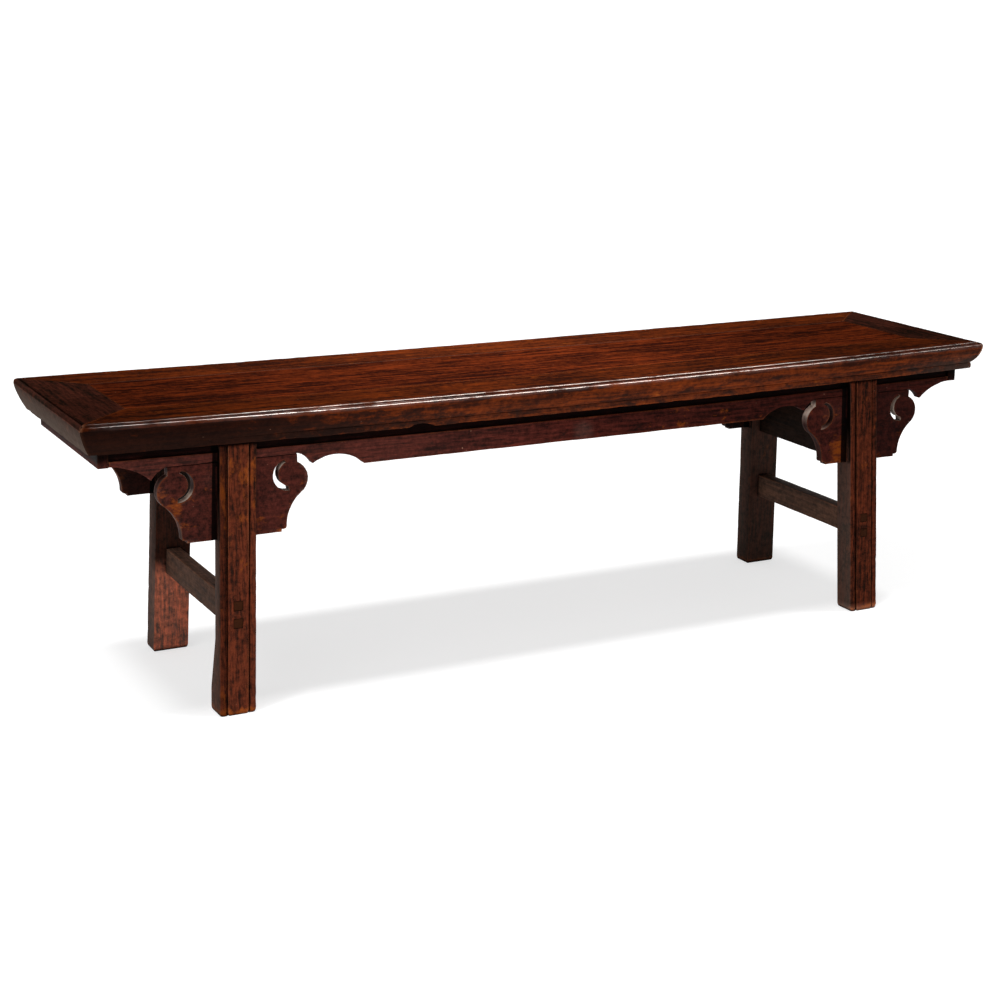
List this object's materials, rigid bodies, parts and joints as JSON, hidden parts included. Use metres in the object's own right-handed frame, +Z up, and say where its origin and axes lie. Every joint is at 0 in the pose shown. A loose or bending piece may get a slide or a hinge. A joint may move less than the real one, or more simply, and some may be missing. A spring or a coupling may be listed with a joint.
{
  "type": "bench",
  "caption": "Long elm bench in East Asian joinery: mitred frame top with floating panel, cusped aprons, scroll spandrels and splayed legs tied by cross rails.",
  "frame": {"origin": "on the floor, under the middle of the seat", "axes": "+X along the bench to the right, +Y to the back, +Z up"},
  "size_m": [1.762, 0.412, 0.505],
  "materials": {
    "rail": "reddish brown lacquer worn to a soft sheen",
    "panel": "reddish brown lacquer worn to a soft sheen",
    "batten": "bare sawn wood",
    "apron": "dark maroon brown lacquer, satin",
    "spandrel": "dark maroon brown lacquer, satin",
    "leg": "dark reddish brown lacquer, satin",
    "cross_rail": "dark brown lacquer, satin"
  },
  "bodies": {
    "root": {"top_rail_front": "rail", "top_rail_back": "rail", "top_rail_left": "rail", "top_rail_right": "rail", "top_panel": "panel", "panel_batten_1": "batten", "panel_batten_2": "batten", "panel_batten_3": "batten", "panel_batten_4": "batten", "apron_front": "apron", "apron_back": "apron", "apron_left": "apron", "apron_right": "apron", "spandrel_front_left": "spandrel", "spandrel_front_right": "spandrel", "spandrel_back_left": "spandrel", "spandrel_back_right": "spandrel", "leg_front_left": "leg", "leg_front_right": "leg", "leg_back_left": "leg", "leg_back_right": "leg", "cross_rail_lower_left": "cross_rail", "cross_rail_upper_left": "cross_rail", "cross_rail_lower_right": "cross_rail", "cross_rail_upper_right": "cross_rail"}
  },
  "joints": []
}
